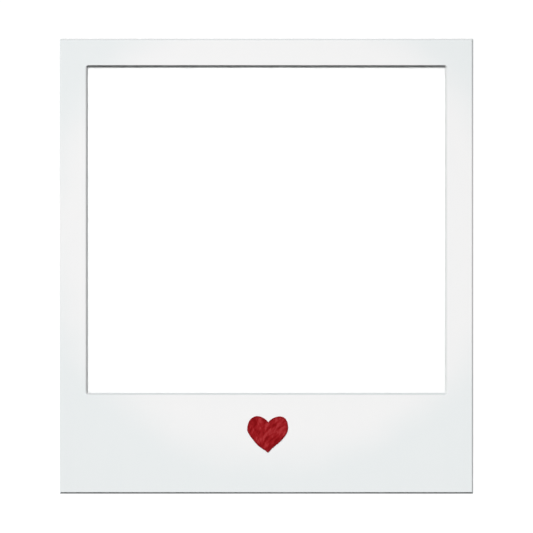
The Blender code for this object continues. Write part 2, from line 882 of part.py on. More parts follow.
leg_outline = filleted(
    [
        (-LEG_FOOT_HALF, -LEG_LENGTH - 0.6 * MM),
        (LEG_FOOT_HALF, -LEG_LENGTH - 0.6 * MM),
        (LEG_TOP_HALF, -CLEAR),
        (-LEG_TOP_HALF, -CLEAR),
    ],
    [3.0 * MM, 3.0 * MM, 2.0 * MM, 2.0 * MM],
)
leg = place(
    "easel_leg",
    plate(
        "easel_leg",
        [leg_outline]
        + [circle((side * LEG_RIVET_X, LEG_RIVET_Z), RIVET_HOLE) for side in (-1, 1)],
        LEG_THICKNESS,
        offset=LEG_FACE - LEG_THICKNESS,
    ),
    hardboard,
    leg_axis,
)
for side, word in ((-1, "left"), (1, "right")):
    cut_rod(
        leg,
        "leg_counterbore_" + word,
        (side * LEG_RIVET_X, LEG_FACE - LEG_THICKNESS, LEG_RIVET_Z),
        "Y",
        2.4 * MM,
        1.8 * MM,
    )
floor = place(
    "floor_cut",
    block("floor_cut", (-0.05, -0.05, -0.02), (0.05, 0.08, 0.0)),
    cutter=True,
)
boolean(leg, floor)

# ---------------------------------------------------------------- hanger

strap_outline = (
    [(-STRAP_OUTER, -STRAP_LENGTH)]
    + arc((0, 0), STRAP_OUTER, 180, -60, 20)
    + [(-STRAP_OUTER + 1.0 * MM, -3.2 * MM), (-STRAP_OUTER + 1.0 * MM, -STRAP_LENGTH)]
)
strap = place(
    "hanger_strap",
    round_end(
        plate(
            "hanger_strap",
            [strap_outline, circle((0, 0), STRAP_INNER, 20)],
            2 * STRAP_HALF,
            "YZ",
        ),
        STRAP_HALF,
        -STRAP_LENGTH,
        STRAP_CORNER,
    ),
    zinc,
    root,
    (0.0, RING_Y, RING_Z),
)
cut_rod(strap, "strap_hole", (0, -STRAP_OUTER, STRAP_RIVET_Z), "Y", RIVET_HOLE, 6 * MM)
strap_back = RING_Y - STRAP_OUTER + 1.0 * MM
rivet(
    "hanger_rivet",
    (0.0, strap_back + GAP, RING_Z + STRAP_RIVET_Z),
    strap_back + GAP - PANEL_FRONT + GAP,
    1.8 * MM,
    0.5 * MM,
    1.8 * MM,
    0.5 * MM,
    root,
)

RING_CORNER = 1.3 * MM
ring_path = (
    arc((-RING_HALF + RING_CORNER, -RING_CORNER), RING_CORNER, 180, 90, 4)
    + [(x * MM, 0.0) for x in (-3.0, 0.0, 3.0)]
    + arc((RING_HALF - RING_CORNER, -RING_CORNER), RING_CORNER, 90, 0, 4)
    + arc((0.0, -RING_STRAIGHT), RING_HALF, 0, -180, 18)
)
wire = bpy.data.curves.new("hanger_ring_path", "CURVE")
wire.dimensions = "3D"
wire.bevel_depth = RING_WIRE
wire.bevel_resolution = 2
bend = wire.splines.new("POLY")
bend.points.add(len(ring_path) - 1)
for point, (x, z) in zip(bend.points, ring_path):
    point.co = (x, 0.0, z, 1.0)
bend.use_cyclic_u = True
ring_sketch = bpy.data.objects.new("hanger_ring_sketch", wire)
cutters.objects.link(ring_sketch)
ring = place(
    "hanger_ring",
    solid_of_curve("hanger_ring", ring_sketch, Matrix.Identity(4)),
    brass,
    ring_axis,
)
smooth(ring, 60)

# ---------------------------------------------------------------- foot pads

for side, word in ((-1, "left"), (1, "right")):
    middle = ROOT_Y + 6.9 * MM
    place(
        "foot_pad_" + word,
        block(
            "foot_pad_" + word,
            (side * PAD_X - PAD_SIZE[0] / 2, middle - PAD_SIZE[1] / 2, 0.0),
            (side * PAD_X + PAD_SIZE[0] / 2, middle + PAD_SIZE[1] / 2, PAD_SIZE[2]),
            "Z",
            1.5 * MM,
        ),
        rubber,
    )
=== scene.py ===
"""Looks of the desk picture frame in the shape of an instant print.

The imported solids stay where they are. Edges are softened, small hardware is redrawn finer in
the same place, and every surface gets a node material. Millimetres in the tables, metres in
the scene.
"""

import math

import bmesh
import bpy
from mathutils import Matrix, Vector
from mathutils.geometry import delaunay_2d_cdt


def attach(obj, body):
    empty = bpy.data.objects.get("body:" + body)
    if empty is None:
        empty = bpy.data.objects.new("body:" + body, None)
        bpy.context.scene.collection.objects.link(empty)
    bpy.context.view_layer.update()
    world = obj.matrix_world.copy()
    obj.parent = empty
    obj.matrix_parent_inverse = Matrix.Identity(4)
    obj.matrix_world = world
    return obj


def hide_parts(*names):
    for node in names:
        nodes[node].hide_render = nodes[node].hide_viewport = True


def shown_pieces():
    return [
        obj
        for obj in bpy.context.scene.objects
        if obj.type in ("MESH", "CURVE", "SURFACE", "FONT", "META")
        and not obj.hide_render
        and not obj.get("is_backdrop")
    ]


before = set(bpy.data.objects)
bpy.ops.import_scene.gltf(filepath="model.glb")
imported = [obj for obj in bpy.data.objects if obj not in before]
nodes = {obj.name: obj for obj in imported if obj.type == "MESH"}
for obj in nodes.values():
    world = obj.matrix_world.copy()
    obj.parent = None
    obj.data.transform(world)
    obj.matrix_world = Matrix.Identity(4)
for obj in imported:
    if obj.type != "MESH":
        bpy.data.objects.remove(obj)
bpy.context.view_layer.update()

MM = 0.001
LEAN = math.radians(14.0)
LEG_OPEN = math.radians(24.0)
GAP = 0.3
WIDTH, HEIGHT = 110.0, 121.0
HINGE_Y, HINGE_Z = 10.55, 78.0
KNUCKLE_INNER, KNUCKLE_OUTER = 1.05, 1.65
RING_Y, RING_Z = 10.4, 106.0
BUTTON_X, BUTTON_Z = 36.0, 9.4

# The frame's own axes: X right, Y from the face back, Z up the face.
ROOT_Y, ROOT_Z = -21.531576, 1.084673
FACE = Matrix.Translation(Vector((0, ROOT_Y, ROOT_Z)) * MM) @ Matrix.Rotation(-LEAN, 4, "X")
LEG = (
    FACE
    @ Matrix.Translation(Vector((0, HINGE_Y, HINGE_Z)) * MM)
    @ Matrix.Rotation(LEG_OPEN, 4, "X")
)
RING = (
    FACE
    @ Matrix.Translation(Vector((0, RING_Y, RING_Z)) * MM)
    @ Matrix.Rotation(LEAN, 4, "X")
)

RIGHT = Vector((1, 0, 0))
UP = FACE.to_3x3() @ Vector((0, 0, 1))
FRONT = FACE.to_3x3() @ Vector((0, -1, 0))

scene = bpy.context.scene
scene.view_settings.view_transform = "Standard"
scene.view_settings.look = "None"

# ---------------------------------------------------------------- camera

LENS, SENSOR = 135.0, 36.0
VIEW_WIDTH = 141.63
centre = FACE @ (Vector((0.0, 0.0, 60.42)) * MM)
distance = VIEW_WIDTH * MM * LENS / SENSOR
camera = bpy.data.objects.new("camera", bpy.data.cameras.new("camera"))
camera.data.lens = LENS
camera.data.sensor_width = SENSOR
camera.data.clip_start, camera.data.clip_end = 0.01, 50.0
camera.location = centre + FRONT * distance
camera.rotation_euler = (math.radians(90.0) - LEAN, 0.0, 0.0)
scene.collection.objects.link(camera)
scene.camera = camera


# ---------------------------------------------------------------- materials


class Look:
    """A material as it is put together: one Principled shader and the nodes that feed it."""

    def __init__(self, name, roughness=0.5, metallic=0.0, **sockets):
        self.material = bpy.data.materials.new(name)
        self.material.use_nodes = True
        self.tree = self.material.node_tree
        self.tree.nodes.clear()
        self.output = self.add("ShaderNodeOutputMaterial")
        self.shader = self.add("ShaderNodeBsdfPrincipled")
        self.tree.links.new(self.shader.outputs["BSDF"], self.output.inputs["Surface"])
        self.set("Roughness", roughness)
        self.set("Metallic", metallic)
        for key, value in sockets.items():
            self.set(key.replace("_", " "), value)

    def add(self, kind, feeds=None, **settings):
        node = self.tree.nodes.new(kind)
        for key, value in settings.items():
            setattr(node, key, value)
        for key, value in (feeds or {}).items():
            self.feed(node.inputs[key], value)
        return node

    def feed(self, socket, value):
        if isinstance(value, bpy.types.NodeSocket):
            self.tree.links.new(value, socket)
        else:
            socket.default_value = value

    def set(self, key, value):
        self.feed(self.shader.inputs[key], value)

    def place(self, space, stretch=(1, 1, 1), turn=0.0):
        """Coordinates in millimetres in one of the frame's own spaces, stretched and turned
        in the sheet's plane."""
        inverse = space.inverted()
        coordinate = self.add("ShaderNodeTexCoord")
        there = self.add(
            "ShaderNodeMapping",
            {
                "Vector": coordinate.outputs["Object"],
                "Location": inverse.translation / MM,
                "Rotation": inverse.to_euler(),
                "Scale": (1 / MM,) * 3,
            },
        ).outputs[0]
        if turn:
            there = self.add(
                "ShaderNodeVectorRotate",
                {"Vector": there, "Angle": turn},
                rotation_type="Y_AXIS",
            ).outputs[0]
        if tuple(stretch) != (1, 1, 1):
            there = self.add(
                "ShaderNodeMapping", {"Vector": there, "Scale": stretch}
            ).outputs[0]
        return there

    def noise(self, vector, size, detail=2.0, roughness=0.5, distortion=0.0):
        """Noise whose features are about that many millimetres across, from 0 to 1."""
        return self.add(
            "ShaderNodeTexNoise",
            {
                "Vector": vector,
                "Scale": 1.0 / size,
                "Detail": detail,
                "Roughness": roughness,
                "Distortion": distortion,
            },
        ).outputs["Fac"]

    def math(self, operation, a, b=0.0, clamp=False):
        node = self.add("ShaderNodeMath", operation=operation, use_clamp=clamp)
        self.feed(node.inputs[0], a)
        self.feed(node.inputs[1], b)
        return node.outputs[0]

    def span(self, value, low, high, to_low=0.0, to_high=1.0, smooth=True):
        return self.add(
            "ShaderNodeMapRange",
            {
                "Value": value,
                "From Min": low,
                "From Max": high,
                "To Min": to_low,
                "To Max": to_high,
            },
            interpolation_type="SMOOTHSTEP" if smooth else "LINEAR",
        ).outputs["Result"]

    def towards(self, direction, low, high):
        """1 where the surface at rest faces that way, 0 where it doesn't."""
        normal = self.add("ShaderNodeTexCoord").outputs["Normal"]
        dot = self.add("ShaderNodeVectorMath", operation="DOT_PRODUCT")
        self.feed(dot.inputs[0], normal)
        self.feed(dot.inputs[1], direction.normalized())
        return self.span(dot.outputs["Value"], low, high)

    def mix(self, share, a, b, blend="MIX"):
        node = self.add("ShaderNodeMix", data_type="RGBA", blend_type=blend)
        self.feed(node.inputs[0], share)
        self.feed(node.inputs[6], a if isinstance(a, bpy.types.NodeSocket) else (*a, 1.0))
        self.feed(node.inputs[7], b if isinstance(b, bpy.types.NodeSocket) else (*b, 1.0))
        return node.outputs[2]

    def bump(self, height, strength, depth, before=None):
        """depth is the relief's height in millimetres."""
        node = self.add("ShaderNodeBump", {"Strength": strength, "Distance": depth * MM})
        self.feed(node.inputs["Height"], height)
        if before is not None:
            self.feed(node.inputs["Normal"], before)
        return node.outputs[0]


def axes(look, vector):
    node = look.add("ShaderNodeSeparateXYZ", {"Vector": vector})
    return node.outputs[0], node.outputs[1], node.outputs[2]


def moulding_look():
    look = Look("white_moulding", Specular_IOR_Level=0.2)
    here = look.place(FACE)
    x, _, z = axes(look, here)
    # Painted shade: the face is darker and cooler away from its middle, a painted falloff of the light.
    across = look.math("POWER", look.math("ABSOLUTE", look.math("SUBTRACT", x, 3.0)), 2.0)
    along = look.math("POWER", look.math("ABSOLUTE", look.math("SUBTRACT", z, 70.0)), 2.0)
    radius = look.math("SQRT", look.math("ADD", across, along))
    cloud = look.noise(here, 22.0, 2.0)
    radius = look.math("ADD", radius, look.span(cloud, 0.3, 0.7, -2.0, 2.0, False))
    painted_falloff = look.span(radius, 53.5, 67.5)
    colour = look.mix(painted_falloff, (0.868, 0.863, 0.862), (0.792, 0.819, 0.822))
    # Slight flow marks of the moulding.
    flow = look.noise(look.place(FACE, (1.0, 1.0, 0.25)), 5.0, 3.0)
    colour = look.mix(look.span(flow, 0.35, 0.65, 0.0, 0.10), colour, (0.83, 0.84, 0.842))
    # Painted shade: the edge of the window is a little greyed.
    ax = look.math("ABSOLUTE", x)
    window = look.math(
        "MULTIPLY",
        look.span(ax, 48.15, 48.35, 1.0, 0.0),
        look.math("MULTIPLY", look.span(z, 26.0, 26.2), look.span(z, 114.05, 114.25, 1.0, 0.0)),
    )
    edge = look.math("SUBTRACT", 1.0, look.towards(FRONT, 0.75, 0.95))
    colour = look.mix(look.math("MULTIPLY", window, edge), colour, (0.76, 0.768, 0.768))
    # Painted shade: the window's chamfer under its top edge is darker still.
    painted_lip_shade = look.towards(FRONT - UP, 0.9, 0.97)
    colour = look.mix(look.math("MULTIPLY", window, painted_lip_shade), colour, (0.61, 0.616, 0.616))
    # Painted shade: the top and the upward chamfers and window corners are darker and mottled; the top is also
    # matte.
    grain = look.span(look.noise(here, 0.45, 3.0), 0.25, 0.75, 0.92, 1.0)
    top_mottle = look.span(look.noise(here, 1.6, 4.0, 0.6), 0.3, 0.7, 0.95, 1.0)
    top = look.math("MULTIPLY", look.towards(UP, 0.86, 0.97), top_mottle)
    colour = look.mix(top, colour, (0.53, 0.538, 0.54))
    painted_chamfer_shade = look.towards(UP + FRONT, 0.93, 0.985)
    for side in (-RIGHT, RIGHT):
        corner = look.towards(UP + side + FRONT * 1.414, 0.93, 0.975)
        painted_chamfer_shade = look.math("MAXIMUM", painted_chamfer_shade, look.math("MULTIPLY", corner, 0.85))
    # The painted shade is lighter on the outer top chamfer than round the window.
    chamfer_shade_colour = look.mix(look.span(z, 117.0, 119.0), (0.475, 0.49, 0.495), (0.535, 0.55, 0.552))
    colour = look.mix(look.math("MULTIPLY", painted_chamfer_shade, grain), colour, chamfer_shade_colour)
    inside = look.towards(-FRONT, 0.2, 0.6)
    colour = look.mix(inside, colour, (0.80, 0.815, 0.815))
    look.set("Base Color", colour)
    satin = look.span(look.noise(here, 3.0, 4.0, 0.6), 0.3, 0.7, 0.42, 0.52, False)
    look.set("Roughness", look.math("MAXIMUM", satin, look.math("MULTIPLY", top, 0.95)))
    spark = look.noise(here, 0.32, 3.0, 0.6)
    look.set("Normal", look.bump(spark, 0.10, 0.02))
    return look.material


def heart_look():
    """Marker strokes that follow each half of the heart, crossed by others, with a darker
    drawn outline."""
    look = Look("heart_red", Specular_IOR_Level=0.06)
    left = look.noise(look.place(FACE, (1.0, 1.0, 0.24), math.radians(20)), 0.95, 3.0, 0.55, 0.4)
    right = look.noise(look.place(FACE, (1.0, 1.0, 0.24), math.radians(-50)), 0.95, 3.0, 0.55, 0.4)
    half = look.noise(look.place(FACE), 2.2, 2.0)
    x, _, _ = axes(look, look.place(FACE))
    half = look.math("ADD", x, look.span(half, 0.3, 0.7, -1.0, 1.0, False))
    half = look.span(half, -1.6, 0.6)
    steep = look.math(
        "ADD",
        look.math("MULTIPLY", look.math("SUBTRACT", 1.0, half), left),
        look.math("MULTIPLY", half, right),
    )
    slant = look.noise(look.place(FACE, (1.0, 1.0, 0.3), math.radians(-24)), 0.70, 2.0, 0.5, 0.3)
    blot = look.noise(look.place(FACE), 1.9, 3.0, 0.6)
    stroke = look.math(
        "ADD",
        look.math("MULTIPLY", look.span(steep, 0.34, 0.66), 0.45),
        look.math(
            "ADD",
            look.math("MULTIPLY", look.span(slant, 0.36, 0.64), 0.3),
            look.math("MULTIPLY", look.span(blot, 0.32, 0.68), 0.25),
        ),
    )
    ramp = look.add("ShaderNodeValToRGB", {"Fac": stroke})
    ramp.color_ramp.interpolation = "EASE"
    stops = ramp.color_ramp.elements
    stops[0].position, stops[0].color = 0.2, (0.212, 0.001, 0.0025, 1)
    stops[1].position, stops[1].color = 0.8, (0.385, 0.025, 0.029, 1)
    middle = stops.new(0.5)
    middle.color = (0.298, 0.007, 0.010, 1)
    rim = look.add("ShaderNodeAttribute", attribute_name="inset").outputs["Fac"]
    wander = look.noise(look.place(FACE), 0.9, 2.0)
    rim = look.math("ADD", rim, look.span(wander, 0.3, 0.7, -0.16, 0.16, False))
    edge = look.span(rim, 0.25, 0.62, 0.55, 0.0)
    colour = look.mix(edge, ramp.outputs["Color"], (0.195, 0.004, 0.008))
    look.set("Base Color", colour)
    look.set("Roughness", look.span(stroke, 0.0, 1.0, 0.44, 0.62, False))
    look.set("Normal", look.bump(stroke, 0.35, 0.03))
    return look.material


def glazing_look():
    """Clear acrylic. Light from the lamps goes straight through to the print."""
    look = Look("clear_acrylic", IOR=1.49, Transmission_Weight=1.0)
    look.set("Base Color", (0.994, 0.997, 0.996, 1.0))
    here = look.place(FACE)
    look.set("Roughness", look.span(look.noise(here, 14.0, 4.0, 0.6), 0.45, 0.8, 0.006, 0.05))
    path = look.add("ShaderNodeLightPath")
    clear = look.add("ShaderNodeBsdfTransparent", {"Color": (0.994, 0.997, 0.996, 1.0)})
    mixed = look.add("ShaderNodeMixShader", {0: path.outputs["Is Shadow Ray"]})
    look.tree.links.new(look.shader.outputs[0], mixed.inputs[1])
    look.tree.links.new(clear.outputs[0], mixed.inputs[2])
    look.tree.links.new(mixed.outputs[0], look.output.inputs["Surface"])
    return look.material


def print_look():
    look = Look("print_paper", Specular_IOR_Level=0.12)
    here = look.place(FACE)
    fibre = look.noise(look.place(FACE, (1.0, 1.0, 0.5), 0.5), 0.6, 4.0)
    look.set("Base Color", look.mix(fibre, (0.925, 0.927, 0.928), (0.95, 0.95, 0.948)))
    look.set("Roughness", look.span(look.noise(here, 9.0, 3.0), 0.3, 0.7, 0.28, 0.38, False))
    look.set("Normal", look.bump(fibre, 0.06, 0.02))
    return look.material


def card_look():
    look = Look("corrugated_card", Specular_IOR_Level=0.2)
    here = look.place(FACE)
    flute = look.add(
        "ShaderNodeTexWave",
        {"Vector": here, "Scale": 0.05, "Distortion": 0.4, "Detail": 2.0},
        bands_direction="X",
    ).outputs["Fac"]
    fibre = look.noise(look.place(FACE, (0.3, 1.0, 1.0), 0.2), 0.5, 4.0, 0.6)
    colour = look.mix(fibre, (0.34, 0.225, 0.13), (0.47, 0.33, 0.20))
    colour = look.mix(look.math("MULTIPLY", flute, 0.2), colour, (0.30, 0.20, 0.115))
    look.set("Base Color", colour)
    look.set("Roughness", look.span(fibre, 0.3, 0.7, 0.82, 0.95, False))
    look.set("Normal", look.bump(flute, 0.3, 0.15, look.bump(fibre, 0.3, 0.05)))
    return look.material


def hardboard_look(name, space, rear):
    """Pressed fibreboard. One side carries the print of the wire screen it was pressed on."""
    look = Look(name, Specular_IOR_Level=0.3)
    here = look.place(space)
    x, _, z = axes(look, here)
    long_fibre = look.noise(look.place(space, (1.0, 1.0, 0.16), 0.45), 0.42, 4.0, 0.62, 0.6)
    cross_fibre = look.noise(look.place(space, (0.18, 1.0, 1.0), 0.3), 0.36, 4.0, 0.6, 0.5)
    patch = look.noise(here, 12.0, 4.0, 0.55)
    colour = look.mix(
        look.span(long_fibre, 0.3, 0.7), (0.118, 0.056, 0.028), (0.235, 0.125, 0.066)
    )
    colour = look.mix(
        look.span(cross_fibre, 0.5, 0.78, 0.0, 0.55), colour, (0.30, 0.172, 0.096)
    )
    colour = look.mix(look.span(patch, 0.35, 0.75, 0.0, 0.32), colour, (0.105, 0.05, 0.026))
    fleck = look.add(
        "ShaderNodeTexVoronoi",
        {"Vector": look.place(space, (1.0, 1.0, 0.45), 0.8), "Scale": 0.7, "Randomness": 1.0},
    ).outputs["Distance"]
    colour = look.mix(look.span(fleck, 0.06, 0.13, 0.65, 0.0), colour, (0.05, 0.024, 0.014))

    # Screen print: wires of a plain weave, a little wavy.
    wave = look.noise(here, 26.0, 2.0)
    drift = look.span(wave, 0.2, 0.8, -0.5, 0.5, False)

    def wires(along, pitch):
        turn = look.math("MULTIPLY", look.math("ADD", along, drift), 2 * math.pi / pitch)
        return look.math("SINE", turn)

    weave = look.math("MULTIPLY", wires(x, 1.55), wires(z, 1.55))
    screened = look.towards(rear, 0.6, 0.9)
    pits = look.math("MULTIPLY", look.span(weave, -1.0, 1.0, 0.0, 1.0, False), screened)
    # Painted shade: the pits of the screen print are darkened, besides their bump.
    pit_shade = look.math("MULTIPLY", look.span(pits, 0.5, 1.0), 0.55)
    colour = look.mix(pit_shade, colour, (0.07, 0.033, 0.017))
    # Sawn edges are paler and layered.
    face = look.towards(rear, 0.5, 0.8)
    other = look.towards(-rear, 0.5, 0.8)
    edge = look.math("SUBTRACT", 1.0, look.math("ADD", face, other), clamp=True)
    layer = look.noise(look.place(space, (0.15, 2.4, 0.15)), 0.3, 3.0)
    sawn = look.mix(layer, (0.17, 0.09, 0.05), (0.33, 0.20, 0.115))
    colour = look.mix(look.math("MULTIPLY", edge, 0.8), colour, sawn)
    look.set("Base Color", colour)
    look.set("Roughness", look.span(long_fibre, 0.3, 0.7, 0.62, 0.8, False))
    relief = look.bump(pits, 0.75, 0.16)
    look.set("Normal", look.bump(long_fibre, 0.25, 0.06, relief))
    return look.material


def steel_look(name, space, stretch=(0.06, 1.0, 1.0)):
    """Zinc-plated sheet: rolling lines, a faint straw tint, darker spots."""
    look = Look(name, metallic=1.0)
    here = look.place(space)
    roll = look.noise(look.place(space, stretch), 0.16, 4.0, 0.65)
    cloud = look.noise(here, 3.2, 4.0, 0.6)
    tint = look.noise(here, 7.5, 2.0)
    colour = look.mix(look.span(cloud, 0.3, 0.7), (0.43, 0.44, 0.455), (0.61, 0.616, 0.622))
    colour = look.mix(look.span(tint, 0.45, 0.75, 0.0, 0.4), colour, (0.58, 0.545, 0.45))
    spot = look.noise(here, 0.9, 3.0, 0.7)
    colour = look.mix(look.span(spot, 0.66, 0.78, 0.0, 0.5), colour, (0.33, 0.325, 0.315))
    look.set("Base Color", colour)
    rough = look.math(
        "ADD",
        look.span(roll, 0.25, 0.75, 0.20, 0.36, False),
        look.span(cloud, 0.4, 0.8, 0.0, 0.14),
    )
    look.set("Roughness", rough)
    look.set("Normal", look.bump(roll, 0.10, 0.02))
    return look.material


def brass_look():
    look = Look("brass_plate", metallic=1.0)
    here = look.place(RING)
    cloud = look.noise(here, 2.4, 4.0, 0.6)
    scratch = look.noise(look.place(RING, (0.4, 0.4, 3.0), 0.4), 0.3, 4.0, 0.7)
    colour = look.mix(look.span(cloud, 0.3, 0.7), (0.62, 0.42, 0.17), (0.80, 0.60, 0.30))
    colour = look.mix(look.span(scratch, 0.62, 0.75, 0.0, 0.4), colour, (0.40, 0.27, 0.13))
    look.set("Base Color", colour)
    look.set("Roughness", look.span(scratch, 0.3, 0.7, 0.18, 0.34, False))
    look.set("Normal", look.bump(scratch, 0.08, 0.02))
    return look.material


def rubber_look():
    look = Look("pad_rubber", Specular_IOR_Level=0.35)
    here = look.place(Matrix.Identity(4))
    grain = look.noise(here, 0.22, 3.0, 0.6)
    bloom = look.noise(here, 3.5, 3.0)
    look.set(
        "Base Color", look.mix(look.span(bloom, 0.35, 0.75), (0.018, 0.018, 0.02), (0.045, 0.045, 0.046))
    )
    look.set("Roughness", look.span(grain, 0.3, 0.7, 0.66, 0.85, False))
    look.set("Normal", look.bump(grain, 0.35, 0.05))
    return look.material


REAR_PANEL = -FRONT
REAR_LEG = LEG.to_3x3() @ Vector((0, 1, 0))

white = moulding_look()
red = heart_look()
acrylic = glazing_look()
paper = print_look()
kraft = card_look()
board = hardboard_look("hardboard_panel", FACE, REAR_PANEL)
leg_board = hardboard_look("hardboard_leg", LEG, REAR_LEG)
zinc = steel_look("zinc_steel", FACE)
zinc_leaf = steel_look("zinc_steel_leaf", LEG)
zinc_small = steel_look("zinc_steel_small", FACE, (1.0, 1.0, 1.0))
zinc_leg_small = steel_look("zinc_steel_leg_small", LEG, (1.0, 1.0, 1.0))
brass = brass_look()
rubber = rubber_look()


# ---------------------------------------------------------------- pieces


def finish_node(name, material, width=0.0, segments=2, angle=28.0):
    """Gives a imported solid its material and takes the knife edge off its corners."""
    obj = nodes[name]
    obj.data.materials.clear()
    obj.data.materials.append(material)
    if not width:
        return obj
    weld = obj.modifiers.new("weld", "WELD")
    weld.merge_threshold = 0.000002
    flat = obj.modifiers.new("flat", "DECIMATE")
    flat.decimate_type = "DISSOLVE"
    flat.angle_limit = math.radians(0.6)
    bevel = obj.modifiers.new("bevel", "BEVEL")
    bevel.limit_method = "ANGLE"
    bevel.angle_limit = math.radians(angle)
    bevel.width = width * MM
    bevel.segments = segments
    bevel.miter_outer = "MITER_ARC"
    bevel.use_clamp_overlap = True
    normal = obj.modifiers.new("normal", "WEIGHTED_NORMAL")
    normal.mode = "FACE_AREA"
    normal.weight = 60
    return obj


def piece(name, mesh, material, body, slot, *replaced, smooth=40.0):
    """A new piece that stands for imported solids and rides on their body."""
    mesh.materials.clear()
    mesh.materials.append(material)
    mesh.shade_smooth()
    mesh.set_sharp_from_angle(angle=math.radians(smooth))
    obj = bpy.data.objects.new(name, mesh)
    scene.collection.objects.link(obj)
    normal = obj.modifiers.new("normal", "WEIGHTED_NORMAL")
    normal.mode = "FACE_AREA"
    normal.weight = 80
    normal.keep_sharp = True
    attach(obj, body)
    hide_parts(*replaced)
    return obj


def mesh_of(bm, name, space):
    bmesh.ops.transform(bm, matrix=space @ Matrix.Scale(MM, 4), verts=bm.verts)
    bmesh.ops.recalc_face_normals(bm, faces=bm.faces)
    mesh = bpy.data.meshes.new(name)
    bm.to_mesh(mesh)
    bm.free()
    return mesh


TO_Y = Matrix.Rotation(-math.pi / 2, 4, "X")
TO_X = Matrix.Rotation(math.pi / 2, 4, "Y")


def spun(profile, steps, turn, place):
    """A turned solid from (radius, height) pairs, top first, as a bmesh in millimetres."""
    bm = bmesh.new()
    rings = []
    for radius, height in profile:
        if radius < 1e-6:
            rings.append([bm.verts.new((0, 0, height))])
        else:
            rings.append(
                [
                    bm.verts.new(
                        (
                            radius * math.cos(2 * math.pi * i / steps),
                            radius * math.sin(2 * math.pi * i / steps),
                            height,
                        )
                    )
                    for i in range(steps)
                ]
            )
    for above, below in zip(rings, rings[1:]):
        for i in range(steps):
            j = (i + 1) % steps
            if len(above) == 1:
                bm.faces.new((above[0], below[i], below[j]))
            elif len(below) == 1:
                bm.faces.new((above[i], below[0], above[j]))
            else:
                bm.faces.new((above[i], below[i], below[j], above[j]))
    bmesh.ops.transform(bm, matrix=Matrix.Translation(place) @ turn, verts=bm.verts)
    return bm


def rounded(points, radius, steps=4):
    """The same profile with its inner corners rounded."""
    result = [points[0]]
    for before, here, after in zip(points, points[1:], points[2:]):
        here = Vector(here)
        to_before, to_after = Vector(before) - here, Vector(after) - here
        size = min(radius, 0.45 * to_before.length, 0.45 * to_after.length)
        first = here + to_before.normalized() * size
        last = here + to_after.normalized() * size
        for k in range(steps + 1):
            t = k / steps
            result.append(tuple((1 - t) ** 2 * first + 2 * t * (1 - t) * here + t * t * last))
    return result + [points[-1]]


def dome(radius, height, base, steps=10):
    """A low dome over a short straight rim, from its pole out."""
    rim = 0.28 * height
    return [
        (
            radius * math.sin(math.pi / 2 * i / steps),
            base + rim + (height - rim) * math.cos(math.pi / 2 * i / steps),
        )
        for i in range(steps + 1)
    ]


# Front moulding, sheets and sheet-steel parts keep their solids.
finish_node("front_bezel", white, 0.07)
finish_node("glazing", acrylic)
finish_node("photo_print", paper)
finish_node("filler_card", kraft)
finish_node("back_panel", board, 0.16)
finish_node("easel_leg", leg_board, 0.16)
finish_node("hinge_plate", zinc, 0.07)
finish_node("hinge_leaf", zinc_leaf, 0.07)
finish_node("hanger_strap", zinc, 0.07)


def heart_piece():
    """The hand-drawn heart as a thin sticker with soft edges, lying on the face."""
    half, tall = 5.45, 9.72
    knots = (
        # place, incoming handle, outgoing handle: across in half widths, up in heights
        ((0.032, 0.838), (0.11, 0.908), (-0.085, 0.915)),
        ((-0.54, 1.002), (-0.29, 1.012), (-0.80, 0.988)),
        ((-1.003, 0.655), (-0.99, 0.86), (-1.02, 0.575)),
        ((-0.695, 0.335), (-0.88, 0.471), (-0.60, 0.263)),
        ((-0.35, 0.143), (-0.465, 0.188), (-0.24, 0.103)),
        ((0.008, 0.0), (-0.095, 0.056), (0.10, 0.06)),
        ((0.437, 0.226), (0.30, 0.17), (0.512, 0.257)),
        ((0.66, 0.335), (0.59, 0.293), (0.83, 0.44)),
        ((0.994, 0.69), (1.01, 0.565), (0.99, 0.865)),
        ((0.60, 0.995), (0.875, 0.988), (0.36, 1.0)),
    )
    outline = []
    for k, (start, _, leave) in enumerate(knots):
        end, arrive, _ = knots[(k + 1) % len(knots)]
        for i in range(18):
            t = i / 18
            a, b, c, d = (1 - t) ** 3, 3 * t * (1 - t) ** 2, 3 * t * t * (1 - t), t**3
            u = a * start[0] + b * leave[0] + c * arrive[0] + d * end[0]
            w = a * start[1] + b * leave[1] + c * arrive[1] + d * end[1]
            outline.append(Vector((u * half, w * tall)))

    def gap(p):
        best = 1e9
        for a, b in zip(outline, outline[1:] + outline[:1]):
            side = b - a
            t = max(0.0, min(1.0, (p - a).dot(side) / side.length_squared))
            best = min(best, (p - a - side * t).length)
        return best

    points, pitch = list(outline), 0.21
    row = 0
    w = 0.0
    while w < tall:
        u = -half + (pitch / 2 if row % 2 else 0.0)
        while u < half:
            points.append(Vector((u, w)))
            u += pitch
        w += pitch * 0.866
        row += 1
    count = len(outline)
    inside = points[:count] + [p for p in points[count:] if gap(p) > 0.12]
    edges = [(i, (i + 1) % count) for i in range(count)]
    spots, _, faces, _, _, _ = delaunay_2d_cdt(inside, edges, [], 1, 1e-6)
    used = sorted({i for f in faces for i in f})
    inset = {i: gap(spots[i]) for i in used}
    thickness, back = 0.11, -0.01
    bm = bmesh.new()
    layer = bm.verts.layers.float.new("inset")
    top, low = {}, {}
    for i in used:
        rise = min(1.0, inset[i] / 0.2)
        depth = back - thickness + 0.025 * (1 - math.sqrt(1 - (1 - rise) ** 2))
        top[i] = bm.verts.new((spots[i].x, depth, spots[i].y))
        low[i] = bm.verts.new((spots[i].x, back, spots[i].y))
        top[i][layer] = low[i][layer] = min(1.0, inset[i])
    border = {}
    for f in faces:
        bm.faces.new([top[i] for i in f])
        bm.faces.new([low[i] for i in reversed(f)])
        for i, j in zip(f, f[1:] + f[:1]):
            border[(i, j)] = border.get((i, j), 0) + 1
    for i, j in border:
        if (j, i) not in border:
            bm.faces.new((top[j], top[i], low[i], low[j]))
    bmesh.ops.translate(bm, vec=(0.33, 0.0, 10.93), verts=bm.verts)
    return piece("heart", mesh_of(bm, "heart", FACE), red, "frame", "heart_red", "heart_sticker", smooth=60)


heart_piece()


